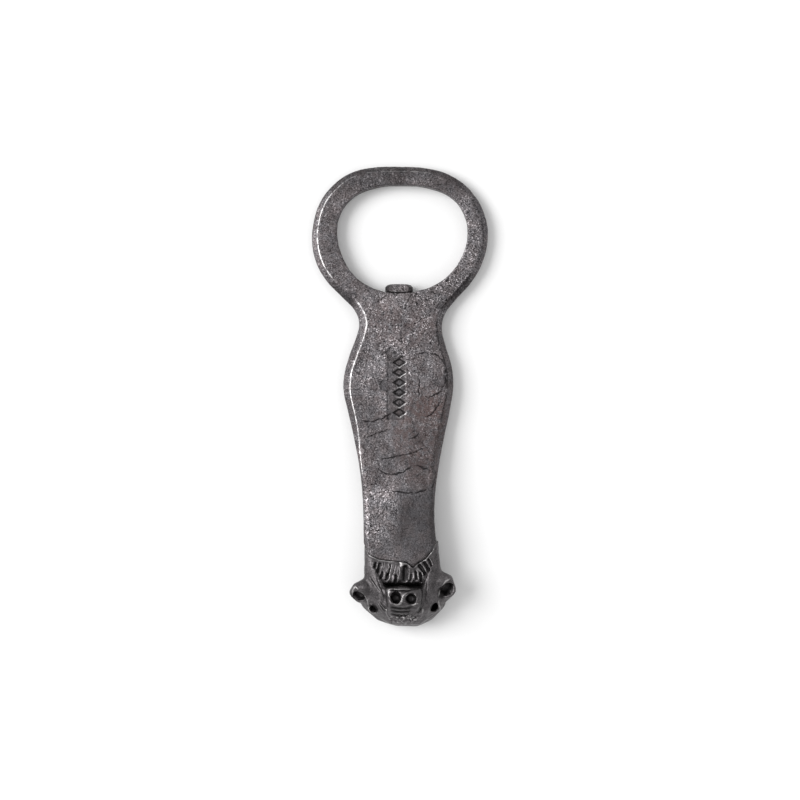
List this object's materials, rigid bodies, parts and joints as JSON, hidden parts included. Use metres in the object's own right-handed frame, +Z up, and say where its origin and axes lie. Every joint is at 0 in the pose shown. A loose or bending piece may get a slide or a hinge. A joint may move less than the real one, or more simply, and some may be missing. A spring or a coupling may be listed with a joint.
{
  "type": "hand-forged bottle opener with animal-head finial",
  "caption": "Flat forged-steel bottle opener: an open ring with a round-headed cap tooth, a waisted handle, and a carved bear's head pinned on its end.",
  "frame": {"origin": "under the middle of the bounding box, on the surface that the opener lies on", "axes": "+X across the opener, +Y along the handle towards the ring, +Z up out of its face, on the side that the bear looks to"},
  "size_m": [0.0538, 0.1403, 0.0167],
  "materials": {
    "forged_steel": "dark pitted forge scale, waxed, with bare worn edges",
    "stud_steel": "dark turned steel, worn bright on its rim",
    "carved_steel": "dark chiselled and burnished steel, bright on its ridges",
    "pin_steel": "filed flush, satin"
  },
  "bodies": {
    "root": {"opener_body": "forged_steel", "cap_stud": "stud_steel", "bear_head": "carved_steel", "head_pin": "pin_steel"}
  },
  "joints": []
}
